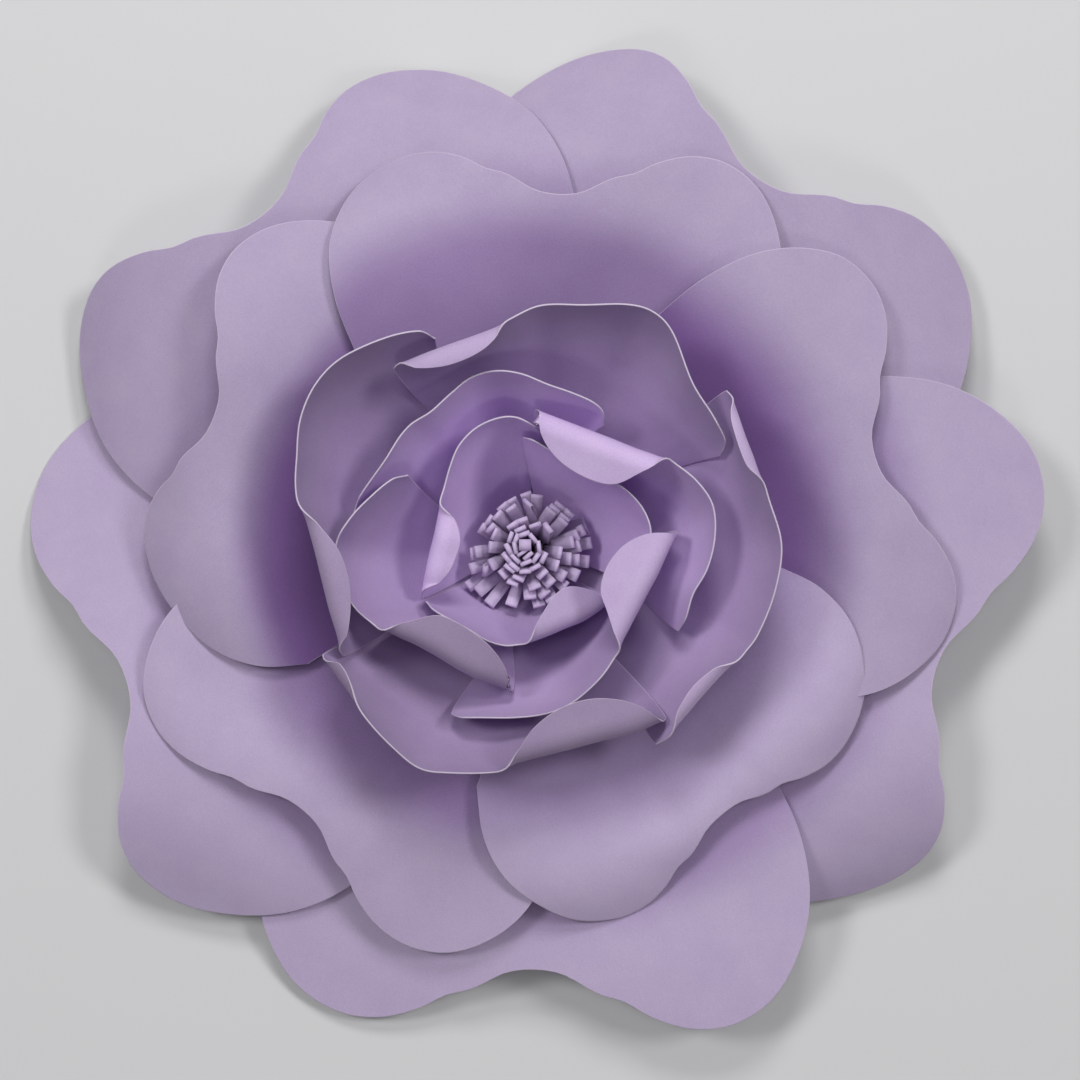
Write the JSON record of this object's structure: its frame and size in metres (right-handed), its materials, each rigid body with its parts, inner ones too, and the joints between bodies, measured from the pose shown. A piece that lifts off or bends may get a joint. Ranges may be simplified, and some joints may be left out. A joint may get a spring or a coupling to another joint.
{
  "type": "giant paper flower",
  "caption": "Large layered paper flower: overlapping two-lobed petals round a standing cup of rolled petals, with a fringed roll of paper loops in the middle and a flat back.",
  "frame": {"origin": "centre of the backing disc's flat back face", "axes": "+Z out of the flower's face, away from what it lies on; +Y towards the meeting of the first and the last outer petal; +X to the right of +Y seen from the front"},
  "size_m": [0.5186, 0.5015, 0.1131],
  "materials": {
    "disc": "plain lilac card",
    "outer_ring": "matte lilac paper",
    "second_ring": "matte lilac paper",
    "third_ring": "matte lilac paper, rolled lobes",
    "fourth_ring": "matte lilac paper, rolled lobes",
    "inner_ring": "matte lilac paper, rolled lobes",
    "fringe": "matte lilac paper with pale cut edges"
  },
  "bodies": {
    "root": {"backing_disc": "disc", "outer_petal_1": "outer_ring", "outer_petal_2": "outer_ring", "outer_petal_3": "outer_ring", "outer_petal_4": "outer_ring", "outer_petal_5": "outer_ring", "second_petal_1": "second_ring", "second_petal_2": "second_ring", "second_petal_3": "second_ring", "second_petal_4": "second_ring", "second_petal_5": "second_ring", "third_petal_1": "third_ring", "third_petal_2": "third_ring", "third_petal_3": "third_ring", "third_petal_4": "third_ring", "fourth_petal_1": "fourth_ring", "fourth_petal_2": "fourth_ring", "fourth_petal_3": "fourth_ring", "fourth_petal_4": "fourth_ring", "inner_petal_1": "inner_ring", "inner_petal_2": "inner_ring", "inner_petal_3": "inner_ring", "centre_fringe": "fringe"}
  },
  "joints": []
}
